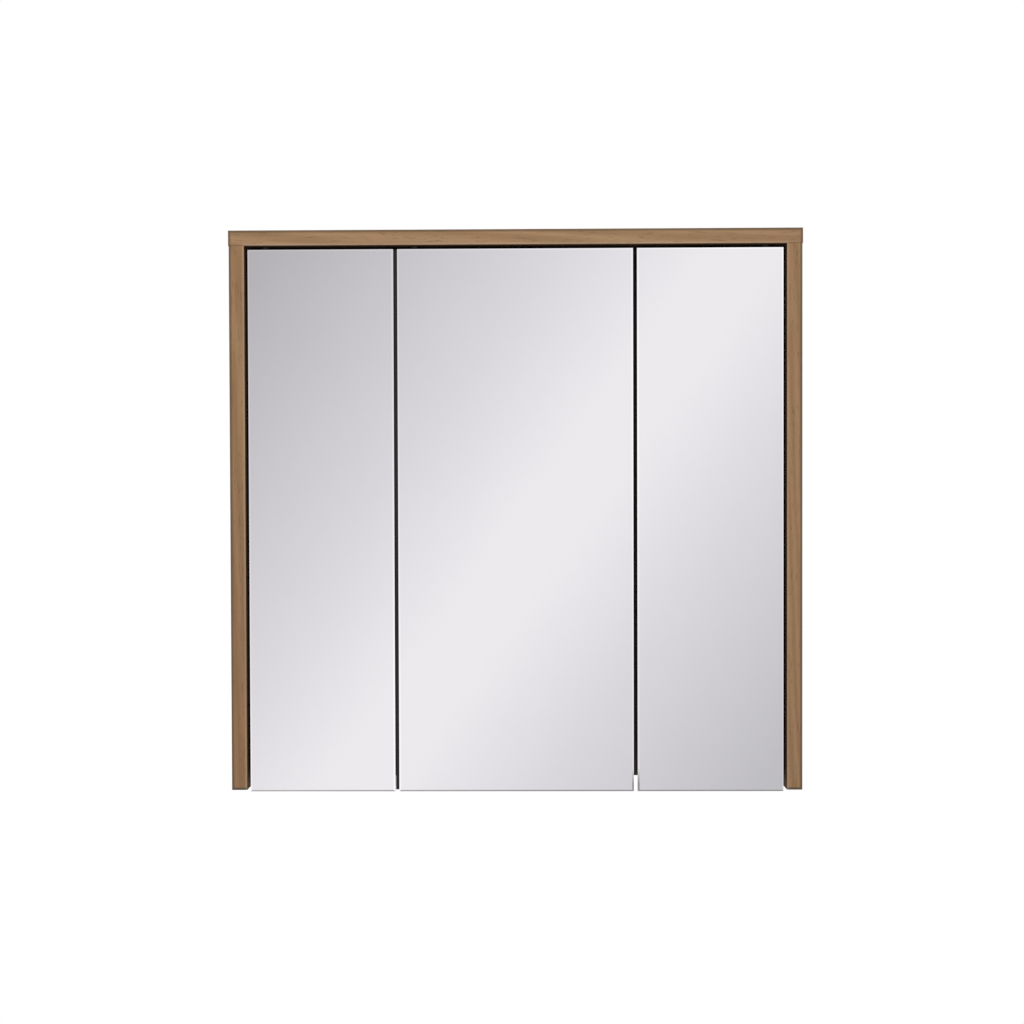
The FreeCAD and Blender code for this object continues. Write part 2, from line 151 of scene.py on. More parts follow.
def oak_print(tree, spot, grain, tones):
    """Colour, sheen and relief of the print, with its grain along X or Z of the vector given."""
    lay = add_node(tree, "ShaderNodeMapping", {"Vector": spot, "Scale": drawn_out(grain, grain_draw)})
    dash = add_node(tree, "ShaderNodeMapping", {"Vector": spot, "Scale": drawn_out(grain, pore_draw)})
    drift = add_node(tree, "ShaderNodeMapping", {
        "Vector": spot, "Location": patch_shift, "Scale": drawn_out(grain, patch_draw)})
    patches = add_node(tree, "ShaderNodeTexNoise", {
        "Vector": drift.outputs["Vector"], "Scale": per_metre(patch_mm), "Detail": 1.0})
    bands = add_node(tree, "ShaderNodeTexNoise", {
        "Vector": lay.outputs["Vector"], "Scale": per_metre(band_mm), "Detail": 3.0, "Roughness": 0.5})
    streaks = add_node(tree, "ShaderNodeTexNoise", {
        "Vector": lay.outputs["Vector"], "Scale": per_metre(streak_mm), "Detail": 4.0, "Roughness": 0.6})
    stripes = add_node(tree, "ShaderNodeTexWave", {
        "Vector": lay.outputs["Vector"], "Scale": diagonal_wave * per_metre(stripe_mm), "Distortion": 9.0,
        "Detail": 3.0, "Detail Scale": 0.7}, bands_direction="DIAGONAL")
    pores = add_node(tree, "ShaderNodeTexNoise", {
        "Vector": dash.outputs["Vector"], "Scale": per_metre(pore_mm), "Detail": 2.0})
    tone = add_node(tree, "ShaderNodeMath", {0: bands.outputs["Fac"], 1: band_share}, operation="MULTIPLY")
    for pattern, share in ((streaks, streak_share), (stripes, stripe_share)):
        tone = add_node(tree, "ShaderNodeMath", {
            0: pattern.outputs["Fac"], 1: share, 2: tone.outputs[0]}, operation="MULTIPLY_ADD")
    brown_tone = add_node(tree, "ShaderNodeValToRGB", {"Fac": tone.outputs[0]}, ramp=[
        (0.34, linear(tones[0])), (0.5, linear(tones[1])), (0.66, linear(tones[2]))])
    hue = add_node(tree, "ShaderNodeValToRGB", {"Fac": patches.outputs["Fac"]}, ramp=[
        (0.36, linear("#F8FAEE")), (0.5, linear("#FAF9F0")), (0.64, linear("#FCF8F1"))])
    ink = add_node(tree, "ShaderNodeMix", {
        0: 1.0, 6: brown_tone.outputs["Color"], 7: hue.outputs["Color"]}, data_type="RGBA", blend_type="MULTIPLY")
    pore_mask = add_node(tree, "ShaderNodeMapRange", {
        "Value": pores.outputs["Fac"], "From Min": 0.40, "From Max": 0.30, "To Min": 0.0, "To Max": 0.5})
    colour = add_node(tree, "ShaderNodeMix", {
        0: pore_mask.outputs["Result"], 6: ink.outputs[2], 7: linear("#65492F")}, data_type="RGBA")
    sheen = add_node(tree, "ShaderNodeMapRange", {
        "Value": streaks.outputs["Fac"], "From Min": noise_low, "From Max": noise_high,
        "To Min": 0.42, "To Max": 0.54})
    relief = add_node(tree, "ShaderNodeBump", {
        "Height": pores.outputs["Fac"], "Strength": 0.12, "Distance": 0.0002})
    return colour.outputs[2], sheen.outputs["Result"], relief.outputs["Normal"]


def oak_figure(tree, place, grain, ink):
    """The print with the tall arches of a plain-sawn log over it."""
    # How the log lies to the board: its scale along each axis, and the shift of its heart in metres
    stretch = {"X": (0.12, 1.0, 0.1), "Z": (0.17, 1.0, 0.12)}[grain]
    heart = {"X": (0.055, 0.06, 0.045), "Z": (0.0, 0.06, -0.018)}[grain]
    log = add_node(tree, "ShaderNodeMapping", {
        "Vector": place.outputs["Object"], "Location": heart, "Scale": stretch})
    growth = add_node(tree, "ShaderNodeTexWave", {
        "Vector": log.outputs["Vector"], "Scale": ring_wave * per_metre(growth_ring_mm), "Distortion": 2.5,
        "Detail": 2.0, "Detail Scale": 1.5}, wave_type="RINGS", rings_direction="SPHERICAL")
    late_wood = add_node(tree, "ShaderNodeMapRange", {
        "Value": growth.outputs["Fac"], "From Min": 0.45, "From Max": 1.0, "To Max": 0.45},
        interpolation_type="SMOOTHSTEP")
    return add_node(tree, "ShaderNodeMix", {
        0: late_wood.outputs["Result"], 6: ink, 7: linear("#7A593A")}, data_type="RGBA").outputs[2]


def chip_core(tree, place):
    """Colour of bare chipboard: pale and brown flakes a millimetre or two long in sandy dust."""
    flake_mm = 1.6
    dust_mm = 0.8
    dust_share = 0.55
    flakes = add_node(tree, "ShaderNodeTexVoronoi", {
        "Vector": place.outputs["Object"], "Scale": per_metre(flake_mm), "Randomness": 1.0})
    dust = add_node(tree, "ShaderNodeTexNoise", {
        "Vector": place.outputs["Object"], "Scale": per_metre(dust_mm), "Detail": 4.0})
    shade = add_node(tree, "ShaderNodeMix", {
        0: dust_share, 2: flakes.outputs["Color"], 3: dust.outputs["Fac"]})
    return add_node(tree, "ShaderNodeValToRGB", {"Fac": shade.outputs[0]}, ramp=[
        (0.2, linear("#92714F")), (0.5, linear("#BC9B77")), (0.8, linear("#D8BC9A"))]).outputs["Color"]


def faced(tree, place, axis):
    """1 on the two broad faces of a board, 0 on its cut edges and in its holes."""
    facing = add_node(tree, "ShaderNodeSeparateXYZ", {"Vector": place.outputs["Normal"]})
    size = add_node(tree, "ShaderNodeMath", {0: facing.outputs[axis]}, operation="ABSOLUTE")
    return add_node(tree, "ShaderNodeMath", {
        0: size.outputs[0], 1: square_on}, operation="GREATER_THAN").outputs[0]


def turned_in(tree, place, axis):
    """1 where the outer boards and their bands face the inside of the cabinet, 0 elsewhere."""
    facing = add_node(tree, "ShaderNodeSeparateXYZ", {"Vector": place.outputs["Normal"]})
    spot = add_node(tree, "ShaderNodeSeparateXYZ", {"Vector": place.outputs["Object"]})
    outward = add_node(tree, "ShaderNodeMath", {0: spot.outputs[axis]}, operation="SIGN")
    side = add_node(tree, "ShaderNodeMath", {
        0: facing.outputs[axis], 1: outward.outputs[0]}, operation="MULTIPLY")
    return add_node(tree, "ShaderNodeMath", {
        0: side.outputs[0], 1: -square_on}, operation="LESS_THAN").outputs[0]


def shade_recess(tree, place, mask, ink, sheen):
    """Colour and sheen of the print, with a matt dark brown painted shade, mottled, over the part that the
    mask gives.
    """
    shade_mottle_mm = 12
    matt = 0.95
    shade_mottle = add_node(tree, "ShaderNodeTexNoise", {
        "Vector": place.outputs["Object"], "Scale": per_metre(shade_mottle_mm), "Detail": 3.0})
    brown_tone = add_node(tree, "ShaderNodeMix", {
        0: shade_mottle.outputs["Fac"], 6: linear("#5A4029"), 7: linear("#6B4D33")}, data_type="RGBA")
    colour = add_node(tree, "ShaderNodeMix", {0: mask, 6: ink, 7: brown_tone.outputs[2]}, data_type="RGBA")
    rough = add_node(tree, "ShaderNodeMix", {0: mask, 2: sheen, 3: matt})
    return colour.outputs[2], rough.outputs[0]


def oak_board(name, grain, axis):
    """Chipboard faced with melamine paper that is printed as brown oak and pressed with a satin plate.
    It gives soft lengthwise bands, fine darker pores and a low even sheen, with flaky bare cut edges. The
    recess round the doors gets a dark brown painted shade, so that the door gaps read as thin black lines."""
    cut_rough = 0.9
    material, tree, shader, place = start_material(name)
    ink, sheen, relief = oak_print(tree, place.outputs["Object"], grain, board_tones)
    ink = oak_figure(tree, place, grain, ink)
    # The recess round the doors gets a matt dark brown painted shade
    spot = add_node(tree, "ShaderNodeSeparateXYZ", {"Vector": place.outputs["Object"]})
    before = add_node(tree, "ShaderNodeMath", {0: spot.outputs["Y"], 1: recess_y}, operation="LESS_THAN")
    recess = add_node(tree, "ShaderNodeMath", {
        0: before.outputs[0], 1: turned_in(tree, place, axis)}, operation="MULTIPLY")
    ink, sheen = shade_recess(tree, place, recess.outputs[0], ink, sheen)
    mask = faced(tree, place, axis)
    colour = add_node(tree, "ShaderNodeMix", {0: mask, 6: chip_core(tree, place), 7: ink}, data_type="RGBA")
    rough = add_node(tree, "ShaderNodeMix", {0: mask, 2: cut_rough, 3: sheen})
    link_surface(tree, shader, colour.outputs[2], rough.outputs[0], relief)
    shader.inputs["IOR"].default_value = print_ior
    return material


# Painted lines on the trimmed edge bands: a darker one of painted shade on the outer arrises and a paler one
# of painted highlight on the inner arris. Up to the width from an arris, in metres, a line has its full
# strength, and from there it fades out. The dark line is strongest at the feet of the sides, and runs round
# the arris until the band faces the front by less than the wrap.
rim_width = 0.0018
rim_fade = 0.0032
rim_strength = 0.65
foot_strength = 0.95
rim_wrap = 0.35
highlight_width = 0.0010
highlight_fade = 0.0026
highlight_strength = 0.3


def lengthwise(tree, place, spot, grain):
    """Coordinates of the bands, turned on those that run to the wall so that their grain does too."""
    swapped = {"X": ("Y", "X", "Z"), "Z": ("X", "Z", "Y")}[grain]
    turned = add_node(tree, "ShaderNodeCombineXYZ", {
        axis_to: spot.outputs[axis_from] for axis_to, axis_from in zip("XYZ", swapped)})
    behind = add_node(tree, "ShaderNodeMath", {
        0: spot.outputs["Y"], 1: band_back_y}, operation="GREATER_THAN")
    return add_node(tree, "ShaderNodeMix", {
        0: behind.outputs[0], 4: place.outputs["Object"], 5: turned.outputs["Vector"]},
        data_type="VECTOR").outputs[1]


def shaded_rims(tree, place, spot, ink, rim_x, rim_z):
    """The print with a darker line of painted shade on the front's outer arrises, at rim_x to both sides and
    at rim_z.
    """
    outside = 1 if rim_z > 0 else -1
    outward = add_node(tree, "ShaderNodeMath", {0: spot.outputs["X"]}, operation="ABSOLUTE")
    side_rim = add_node(tree, "ShaderNodeMapRange", {
        "Value": outward.outputs[0], "From Min": rim_x - rim_fade, "From Max": rim_x - rim_width,
        "To Max": rim_strength})
    end_rim = add_node(tree, "ShaderNodeMapRange", {
        "Value": spot.outputs["Z"], "From Min": rim_z - outside * rim_fade,
        "From Max": rim_z - outside * rim_width, "To Max": rim_strength if rim_z > 0 else foot_strength})
    facing = add_node(tree, "ShaderNodeSeparateXYZ", {"Vector": place.outputs["Normal"]})
    on_front = add_node(tree, "ShaderNodeMath", {0: facing.outputs["Y"], 1: -rim_wrap}, operation="LESS_THAN")
    rim = add_node(tree, "ShaderNodeMath", {
        0: side_rim.outputs["Result"], 1: end_rim.outputs["Result"]}, operation="MAXIMUM")
    rim = add_node(tree, "ShaderNodeMath", {0: rim.outputs[0], 1: on_front.outputs[0]}, operation="MULTIPLY")
    return add_node(tree, "ShaderNodeMix", {
        0: rim.outputs[0], 6: ink, 7: linear("#51422F")}, data_type="RGBA").outputs[2]


def highlit_arris(tree, spot, ink):
    """The print with a paler line of painted highlight on the arris round the doors."""
    outward = add_node(tree, "ShaderNodeMath", {0: spot.outputs["X"]}, operation="ABSOLUTE")
    side_highlight = add_node(tree, "ShaderNodeMapRange", {
        "Value": outward.outputs[0], "From Min": side_low[0] + highlight_fade,
        "From Max": side_low[0] + highlight_width})
    under_highlight = add_node(tree, "ShaderNodeMapRange", {
        "Value": spot.outputs["Z"], "From Min": top_low[2] + highlight_fade, "From Max": top_low[2] + highlight_width,
        "To Max": highlight_strength})
    highlit = add_node(tree, "ShaderNodeMath", {
        0: side_highlight.outputs["Result"], 1: under_highlight.outputs["Result"]}, operation="MULTIPLY")
    return add_node(tree, "ShaderNodeMix", {
        0: highlit.outputs[0], 6: ink, 7: linear("#BBA48F")}, data_type="RGBA").outputs[2]


def oak_edging(name, grain, axis, tones, rim_x, rim_z):
    """ABS edge band printed as brown oak and trimmed to a small radius after gluing.
    It shows the same grain as the boards, lengthwise on the bands that run to the wall as well, with a darker
    line of painted shade on the outer arrises, a paler line of painted highlight on the inner arris, and the
    painted shade of the recess on its inner flank."""
    material, tree, shader, place = start_material(name)
    spot = add_node(tree, "ShaderNodeSeparateXYZ", {"Vector": place.outputs["Object"]})
    ink, sheen, relief = oak_print(tree, lengthwise(tree, place, spot, grain), grain, tones)
    # Painted shade on the outer arrises, then a painted highlight on the inner arris
    ink = shaded_rims(tree, place, spot, ink, rim_x, rim_z)
    ink = highlit_arris(tree, spot, ink)
    # Painted shade on the inner flank, in the recess round the doors
    ink, sheen = shade_recess(tree, place, turned_in(tree, place, axis), ink, sheen)
    link_surface(tree, shader, ink, sheen, relief)
    shader.inputs["IOR"].default_value = print_ior
    return material


# Painted shade on the mirrors' lower arris, in metres: how far to each side of the right-hand gap it reaches,
# where it begins and is whole going down, and between which places along the bottom it gets darker
shade_reach = 0.006
shade_top_z = panel_under_z + 0.014
shade_whole_z = panel_under_z - 0.002
shade_light_x = -0.26
shade_dark_x = 0.06


def lower_arris_shade(tree, facing, spot):
    """1 where shade is painted: on the lower arris and a little way up the right-hand gap, 0 elsewhere."""
    on_lower = add_node(tree, "ShaderNodeMath", {0: facing.outputs["Z"], 1: -slanting}, operation="LESS_THAN")
    by_gap = add_node(tree, "ShaderNodeMath", {
        0: spot.outputs["X"], 1: right_gap_x, 2: shade_reach}, operation="COMPARE")
    below = add_node(tree, "ShaderNodeMapRange", {
        "Value": spot.outputs["Z"], "From Min": shade_top_z, "From Max": shade_whole_z})
    corner = add_node(tree, "ShaderNodeMath", {
        0: by_gap.outputs[0], 1: below.outputs["Result"]}, operation="MULTIPLY")
    return add_node(tree, "ShaderNodeMath", {
        0: on_lower.outputs[0], 1: corner.outputs[0]}, operation="MAXIMUM").outputs[0]


def mirror_glass():
    """Float glass, silvered and painted grey behind, with a polished arris.
    The face is a clean mirror with the faintest smudges. The arris is painted paler than the face as a
    highlight, and has the face's normal so that it mirrors the same light. The lower arris is painted grey
    and dull as shade, a little way up the right-hand gap too, and the cut edge is dark green glass."""
    smudge_mm = 60
    grit_mm = 1.5
    dull_rough = 0.4
    # The face's normal, -Y, as a colour, and the share of silver down to which the arris takes it
    face_normal = (0.5, 0.0, 0.5, 1.0)
    least_silver = 0.02
    material, tree, shader, place = start_material("Silvered_float_glass_polished_arris")
    facing = add_node(tree, "ShaderNodeSeparateXYZ", {"Vector": place.outputs["Normal"]})
    spot = add_node(tree, "ShaderNodeSeparateXYZ", {"Vector": place.outputs["Object"]})
    off_face, off_arris, on_back = [
        add_node(tree, "ShaderNodeMath", {0: facing.outputs["Y"], 1: limit}, operation="GREATER_THAN")
        for limit in (-square_on, -slanting, square_on)]
    # The grey painted shade covers the lower arris and the foot of the right-hand gap
    shaded_arris = add_node(tree, "ShaderNodeMath", {
        0: lower_arris_shade(tree, facing, spot), 1: off_face.outputs[0]}, operation="MULTIPLY")
    smudge = add_node(tree, "ShaderNodeTexNoise", {
        "Vector": place.outputs["Object"], "Scale": per_metre(smudge_mm), "Detail": 4.0, "Roughness": 0.65})
    grit = add_node(tree, "ShaderNodeTexNoise", {
        "Vector": place.outputs["Object"], "Scale": per_metre(grit_mm), "Detail": 2.0})
    shade_drift = add_node(tree, "ShaderNodeMapRange", {
        "Value": spot.outputs["X"], "From Min": shade_light_x, "From Max": shade_dark_x,
        "To Min": 0.35, "To Max": -0.35})
    shade_tone = add_node(tree, "ShaderNodeMath", {
        0: grit.outputs["Fac"], 1: shade_drift.outputs["Result"]}, operation="ADD")
    colour = add_node(tree, "ShaderNodeMix", {
        0: smudge.outputs["Fac"], 6: linear("#EAEBEB"), 7: linear("#EEEEEF")}, data_type="RGBA")
    # The arris takes a paler tone, a painted highlight; the lower arris a grey painted shade; the cut edge
    # dark green glass
    for mask, shade, dark, light in (
            (off_face, grit.outputs["Fac"], "#FAF9F7", "#FFFEFC"),
            (shaded_arris, shade_tone.outputs[0], "#979597", "#D2CFD0"),
            (off_arris, grit.outputs["Fac"], "#2C3531", "#3E4A45")):
        tone = add_node(tree, "ShaderNodeMix", {
            0: shade, 6: linear(dark), 7: linear(light)}, data_type="RGBA")
        colour = add_node(tree, "ShaderNodeMix", {
            0: mask.outputs[0], 6: colour.outputs[2], 7: tone.outputs[2]}, data_type="RGBA")
    colour = add_node(tree, "ShaderNodeMix", {
        0: on_back.outputs[0], 6: colour.outputs[2], 7: linear("#6C7471")}, data_type="RGBA")
    dull = add_node(tree, "ShaderNodeMath", {
        0: shaded_arris.outputs[0], 1: off_arris.outputs[0]}, operation="MAXIMUM")
    metal = add_node(tree, "ShaderNodeMath", {0: 1.0, 1: dull.outputs[0]}, operation="SUBTRACT")
    clean = add_node(tree, "ShaderNodeMapRange", {
        "Value": smudge.outputs["Fac"], "From Min": 0.35, "From Max": 0.75, "To Min": 0.012, "To Max": 0.03})
    rough = add_node(tree, "ShaderNodeMix", {0: dull.outputs[0], 2: clean.outputs["Result"], 3: dull_rough})
    bright = add_node(tree, "ShaderNodeMath", {
        0: metal.outputs[0], 1: least_silver}, operation="GREATER_THAN")
    level = add_node(tree, "ShaderNodeMath", {
        0: off_face.outputs[0], 1: bright.outputs[0]}, operation="MULTIPLY")
    even = add_node(tree, "ShaderNodeNormalMap", {
        "Strength": level.outputs[0], "Color": face_normal}, space="OBJECT")
    link_surface(tree, shader, colour.outputs[2], rough.outputs[0], even.outputs["Normal"])
    tree.links.new(metal.outputs[0], shader.inputs["Metallic"])
    return material


def pearl_board():
    """Chipboard faced with light grey melamine from a pearl-textured plate, which breaks up the sheen."""
    bead_mm = 0.9
    cloud_mm = 35
    material, tree, shader, place = start_material("Light_grey_melamine_pearl_pressed")
    beads = add_node(tree, "ShaderNodeTexVoronoi", {
        "Vector": place.outputs["Object"], "Scale": per_metre(bead_mm)})
    cloud = add_node(tree, "ShaderNodeTexNoise", {
        "Vector": place.outputs["Object"], "Scale": per_metre(cloud_mm), "Detail": 4.0})
    paper = add_node(tree, "ShaderNodeMix", {
        0: cloud.outputs["Fac"], 6: linear("#CFCECA"), 7: linear("#DEDDD9")}, data_type="RGBA")
    colour = add_node(tree, "ShaderNodeMix", {
        0: faced(tree, place, "Y"), 6: chip_core(tree, place), 7: paper.outputs[2]}, data_type="RGBA")
    sheen = add_node(tree, "ShaderNodeMapRange", {
        "Value": cloud.outputs["Fac"], "From Min": noise_low, "From Max": noise_high,
        "To Min": 0.36, "To Max": 0.48})
    relief = add_node(tree, "ShaderNodeBump", {
        "Height": beads.outputs["Distance"], "Strength": 0.25, "Distance": 0.0001})
    link_surface(tree, shader, colour.outputs[2], sheen.outputs["Result"], relief.outputs["Normal"])
    return material


def fine_grained(name, light, dark, rough_low, rough_high, bump, grain_mm=0.5):
    """An even surface with a fine grain and faint clouds, as on moulded or rolled plastic, foam, baked powder
    and sintered blocks. The grain is several times as coarse as a real one, which wouldn't show."""
    cloud_mm = 18
    material, tree, shader, place = start_material(name)
    grain = add_node(tree, "ShaderNodeTexNoise", {
        "Vector": place.outputs["Object"], "Scale": per_metre(grain_mm), "Detail": 3.0})
    cloud = add_node(tree, "ShaderNodeTexNoise", {
        "Vector": place.outputs["Object"], "Scale": per_metre(cloud_mm), "Detail": 3.0, "Distortion": 1.2})
    colour = add_node(tree, "ShaderNodeValToRGB", {"Fac": cloud.outputs["Fac"]}, ramp=[
        (0.35, linear(dark)), (0.65, linear(light))])
    sheen = add_node(tree, "ShaderNodeMapRange", {
        "Value": grain.outputs["Fac"], "From Min": noise_low, "From Max": noise_high,
        "To Min": rough_low, "To Max": rough_high})
    relief = add_node(tree, "ShaderNodeBump", {
        "Height": grain.outputs["Fac"], "Strength": bump, "Distance": 0.0001})
    link_surface(tree, shader, colour.outputs["Color"], sheen.outputs["Result"], relief.outputs["Normal"])
    return material


def bare_metal(name, bright, dull, rough_low, rough_high, skin_mm):
    """Plated or cast metal: a clear shine that fades in patches the size of its skin's crystals, which are
    drawn coarser than real ones so that they show."""
    rub_mm = 9
    rub_share = 0.6
    material, tree, shader, place = start_material(name)
    skin = add_node(tree, "ShaderNodeTexVoronoi", {
        "Vector": place.outputs["Object"], "Scale": per_metre(skin_mm)})
    rub = add_node(tree, "ShaderNodeTexNoise", {
        "Vector": place.outputs["Object"], "Scale": per_metre(rub_mm), "Detail": 4.0, "Roughness": 0.65})
    patch = add_node(tree, "ShaderNodeMix", {0: rub_share, 2: skin.outputs["Color"], 3: rub.outputs["Fac"]})
    colour = add_node(tree, "ShaderNodeValToRGB", {"Fac": patch.outputs[0]}, ramp=[
        (0.25, linear(dull)), (0.75, linear(bright))])
    sheen = add_node(tree, "ShaderNodeMapRange", {
        "Value": rub.outputs["Fac"], "From Min": noise_low, "From Max": noise_high,
        "To Min": rough_low, "To Max": rough_high})
    link_surface(tree, shader, colour.outputs["Color"], sheen.outputs["Result"])
    shader.inputs["Metallic"].default_value = 1.0
    return material


def turned_beech():
    """Unfinished beech from the lathe: pale and dry, with short darker flecks."""
    fleck_mm = 0.9
    material, tree, shader, place = start_material("Beech_turned")
    fleck = add_node(tree, "ShaderNodeTexNoise", {
        "Vector": place.outputs["Object"], "Scale": per_metre(fleck_mm), "Detail": 4.0})
    colour = add_node(tree, "ShaderNodeValToRGB", {"Fac": fleck.outputs["Fac"]}, ramp=[
        (0.36, linear("#A9835C")), (0.5, linear("#C49D74")), (0.64, linear("#D2AF88"))])
    sheen = add_node(tree, "ShaderNodeMapRange", {
        "Value": fleck.outputs["Fac"], "From Min": noise_low, "From Max": noise_high,
        "To Min": 0.72, "To Max": 0.58})
    link_surface(tree, shader, colour.outputs["Color"], sheen.outputs["Result"])
    return material


def lacquered_hardboard():
    """Pressed hardboard: smooth off-white lacquer towards the shelves, and raw brown fibre with the mark of
    the press's wire mesh towards the wall."""
    fibre_mm = 1.6
    mesh_mm = 2.5
    cloud_mm = 45
    mesh_turn = math.radians(45)
    raw_rough = 0.78
    lacquer_rough = 0.4
    material, tree, shader, place = start_material("Hardboard_pressed_lacquered_one_side")
    facing = add_node(tree, "ShaderNodeSeparateXYZ", {"Vector": place.outputs["Normal"]})
    inside = add_node(tree, "ShaderNodeMath", {0: facing.outputs["Y"], 1: -square_on}, operation="LESS_THAN")
    fibre = add_node(tree, "ShaderNodeTexNoise", {
        "Vector": place.outputs["Object"], "Scale": per_metre(fibre_mm), "Detail": 6.0, "Roughness": 0.7})
    mesh_way = add_node(tree, "ShaderNodeMapping", {
        "Vector": place.outputs["Object"], "Rotation": (0.0, mesh_turn, 0.0)})
    mesh_mark = add_node(tree, "ShaderNodeTexVoronoi", {
        "Vector": mesh_way.outputs["Vector"], "Scale": per_metre(mesh_mm), "Randomness": 0.0},
        distance="CHEBYCHEV")
    cloud = add_node(tree, "ShaderNodeTexNoise", {
        "Vector": place.outputs["Object"], "Scale": per_metre(cloud_mm), "Detail": 3.0})
    raw = add_node(tree, "ShaderNodeValToRGB", {"Fac": fibre.outputs["Fac"]}, ramp=[
        (0.35, linear("#664A32")), (0.52, linear("#846446")), (0.68, linear("#9C7D5A"))])
    lacquer = add_node(tree, "ShaderNodeMix", {
        0: cloud.outputs["Fac"], 6: linear("#DEDCD7"), 7: linear("#E8E6E2")}, data_type="RGBA")
    colour = add_node(tree, "ShaderNodeMix", {
        0: inside.outputs[0], 6: raw.outputs["Color"], 7: lacquer.outputs[2]}, data_type="RGBA")
    rough = add_node(tree, "ShaderNodeMix", {0: inside.outputs[0], 2: raw_rough, 3: lacquer_rough})
    height = add_node(tree, "ShaderNodeMix", {
        0: inside.outputs[0], 2: mesh_mark.outputs["Distance"], 3: fibre.outputs["Fac"]})
    relief = add_node(tree, "ShaderNodeBump", {
        "Height": height.outputs[0], "Strength": 0.25, "Distance": 0.0003})
    link_surface(tree, shader, colour.outputs[2], rough.outputs[0], relief.outputs["Normal"])
    return material


def shelf_glass():
    """Clear float glass with polished edges: almost colourless through the face and green along the edge,
    with a little dust."""
    dust_mm = 30
    material, tree, shader, place = start_material("Clear_float_glass_polished_edge")
    facing = add_node(tree, "ShaderNodeSeparateXYZ", {"Vector": place.outputs["Normal"]})
    upright = add_node(tree, "ShaderNodeMath", {0: facing.outputs["Z"]}, operation="ABSOLUTE")
    on_edge = add_node(tree, "ShaderNodeMath", {0: upright.outputs[0], 1: slanting}, operation="LESS_THAN")
    dust = add_node(tree, "ShaderNodeTexNoise", {
        "Vector": place.outputs["Object"], "Scale": per_metre(dust_mm), "Detail": 5.0, "Roughness": 0.7})
    tint = add_node(tree, "ShaderNodeMix", {
        0: dust.outputs["Fac"], 6: linear("#E6F3EE"), 7: linear("#EFF8F4")}, data_type="RGBA")
    colour = add_node(tree, "ShaderNodeMix", {
        0: on_edge.outputs[0], 6: tint.outputs[2], 7: linear("#A4D2BF")}, data_type="RGBA")
    film = add_node(tree, "ShaderNodeMapRange", {
        "Value": dust.outputs["Fac"], "From Min": 0.4, "From Max": 0.8, "To Min": 0.0, "To Max": 0.04})
    link_surface(tree, shader, colour.outputs[2], film.outputs["Result"])
    shader.inputs["IOR"].default_value = 1.52
    shader.inputs["Transmission Weight"].default_value = 1.0
    return material


# Carcass: brown oak decor with the grain along each board
dress(oak_board("Oak_decor_melamine_upright", "Z", "X"),
      *[f"{side}_{board}" for side in sides for board in ("side_panel", "partition")])
dress(oak_board("Oak_decor_melamine_level", "X", "Z"), "top_panel", "bottom_panel")
dress(oak_edging("Oak_print_ABS_edging_sides", "Z", "X", side_tones, side_high[0], side_low[2]),
      "left_side_edging", "right_side_edging")
dress(oak_edging("Oak_print_ABS_edging_top", "X", "Z", top_lit_tones, top_high[0], top_high[2]), "top_edging")
dress(lacquered_hardboard(), "back_panel")
dress(turned_beech(), "wood_dowels")

# ABS bands on the inner boards: dark brown with a soft sheen, as painted shade, so that nothing pale shows in
# the door gaps
dress(fine_grained("Dark_brown_ABS_edging_rolled", "#433529", "#3F3227", 0.40, 0.50, 0.10, 1.0),
      "partition_edging", "bottom_edging")

# Doors: mirrors on pale boards
dress(mirror_glass(), *[f"{door}_mirror" for door in doors])
dress(pearl_board(), *[f"{door}_door_board" for door in doors])

# ABS bands of the door boards: an even mid grey with a soft sheen
dress(fine_grained("Grey_ABS_edging_rolled", "#8B8A87", "#888784", 0.36, 0.44, 0.10, 1.0),
      *[f"{door}_door_edging" for door in doors])

# Acrylic foam tape: black, matt and finely porous
dress(fine_grained("Black_acrylic_foam_cast", "#2E2E30", "#1E1E20", 0.80, 0.92, 0.6, 0.7),
      *[f"{door}_mirror_tapes" for door in doors])

# Acetal bushes and gap strip: black and satin, so that they are lost in the dark of the gaps
dress(fine_grained("Black_acetal_moulded", "#131314", "#0E0E0F", 0.50, 0.60, 0.15),
      *[f"{door}_door_bushes" for door in doors], "centre_door_gap_strip")

# Pivot plates: stamped steel with a black powder coat, satin and slightly orange-peeled
dress(fine_grained("Black_powder_coat_baked", "#151516", "#0F0F10", 0.56, 0.68, 0.30, 0.9),
      *[f"{door}_door_{end}_pivot" for door in doors for end in ("top", "bottom")])

# Acetal catches from a spark-eroded mould: off-white, satin and finely grained
dress(fine_grained("White_acetal_moulded", "#DEDDD8", "#D3D2CD", 0.38, 0.48, 0.15),
      *[f"{door}_door_catch" for door in doors])

# Ferrite magnets: sintered, near black and ground flat
dress(fine_grained("Ferrite_sintered_ground", "#3C3C3F", "#2C2C2E", 0.42, 0.55, 0.10, 0.4), "catch_magnets")

# ABS hanger housings from a spark-eroded mould: light grey, satin and finely grained
dress(fine_grained("Grey_ABS_moulded", "#A4A6A8", "#989A9C", 0.42, 0.54, 0.18),
      "left_hanger_housing", "right_hanger_housing")

# Bright zinc plating on stamped sheet: bluish silver with faint crystals
dress(bare_metal("Zinc_plated_steel_stamped", "#BCC0C5", "#A6ABB1", 0.26, 0.38, 1.4),
      *[f"{side}_{piece}" for side in sides for piece in ("wall_plate", "hanger_hook")],
      *[f"{door}_door_strike" for door in doors])

# Nickel plating on turned parts: warm silver and bright
dress(bare_metal("Nickel_plated_steel_turned", "#CBC6BA", "#B7B2A7", 0.18, 0.28, 0.8),
      "hardware_screws", "hanger_screws", "cam_bolts", "shelf_pins", "pivot_pins")

# Die-cast zinc alloy: dull grey with a cloudy casting skin
dress(bare_metal("Zinc_alloy_die_cast", "#A5A6A8", "#8C8D90", 0.42, 0.56, 2.0), "cam_discs")

# Shelves: clear glass, two in each bay
dress(shelf_glass(), *[f"{bay}_{level}_shelf" for bay in doors for level in ("lower", "upper")])

